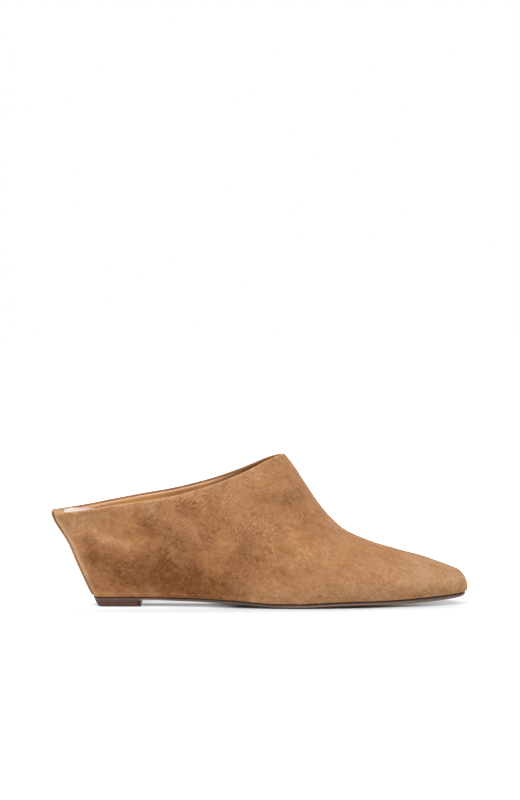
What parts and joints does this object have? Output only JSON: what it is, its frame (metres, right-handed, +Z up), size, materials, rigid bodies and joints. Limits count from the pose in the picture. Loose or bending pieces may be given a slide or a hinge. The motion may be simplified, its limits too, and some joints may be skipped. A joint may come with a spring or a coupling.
{
  "type": "wedge mule",
  "caption": "Closed-toe, backless suede mule on a low wedge heel, with a hollow upper that covers the wedge down to a thin leather sole. Right shoe.",
  "frame": {"origin": "on the floor under the middle of the shoe's outline box", "axes": "+X towards the toe, +Y towards the inner side of the foot, +Z up"},
  "size_m": [0.2662, 0.086, 0.0962],
  "materials": {
    "suede": "tan suede, lined with leather",
    "strip_suede": "tan suede, skived and folded",
    "cork": "pressed cork composition",
    "sock_leather": "smooth glazed sock leather on board",
    "sole_leather": "thin leather with a painted edge",
    "lift_rubber": "moulded, slightly worn"
  },
  "bodies": {
    "root": {"upper": "suede", "back_strip": "strip_suede", "wedge": "cork", "insole": "sock_leather", "outsole": "sole_leather", "top_lift": "lift_rubber"}
  },
  "joints": []
}
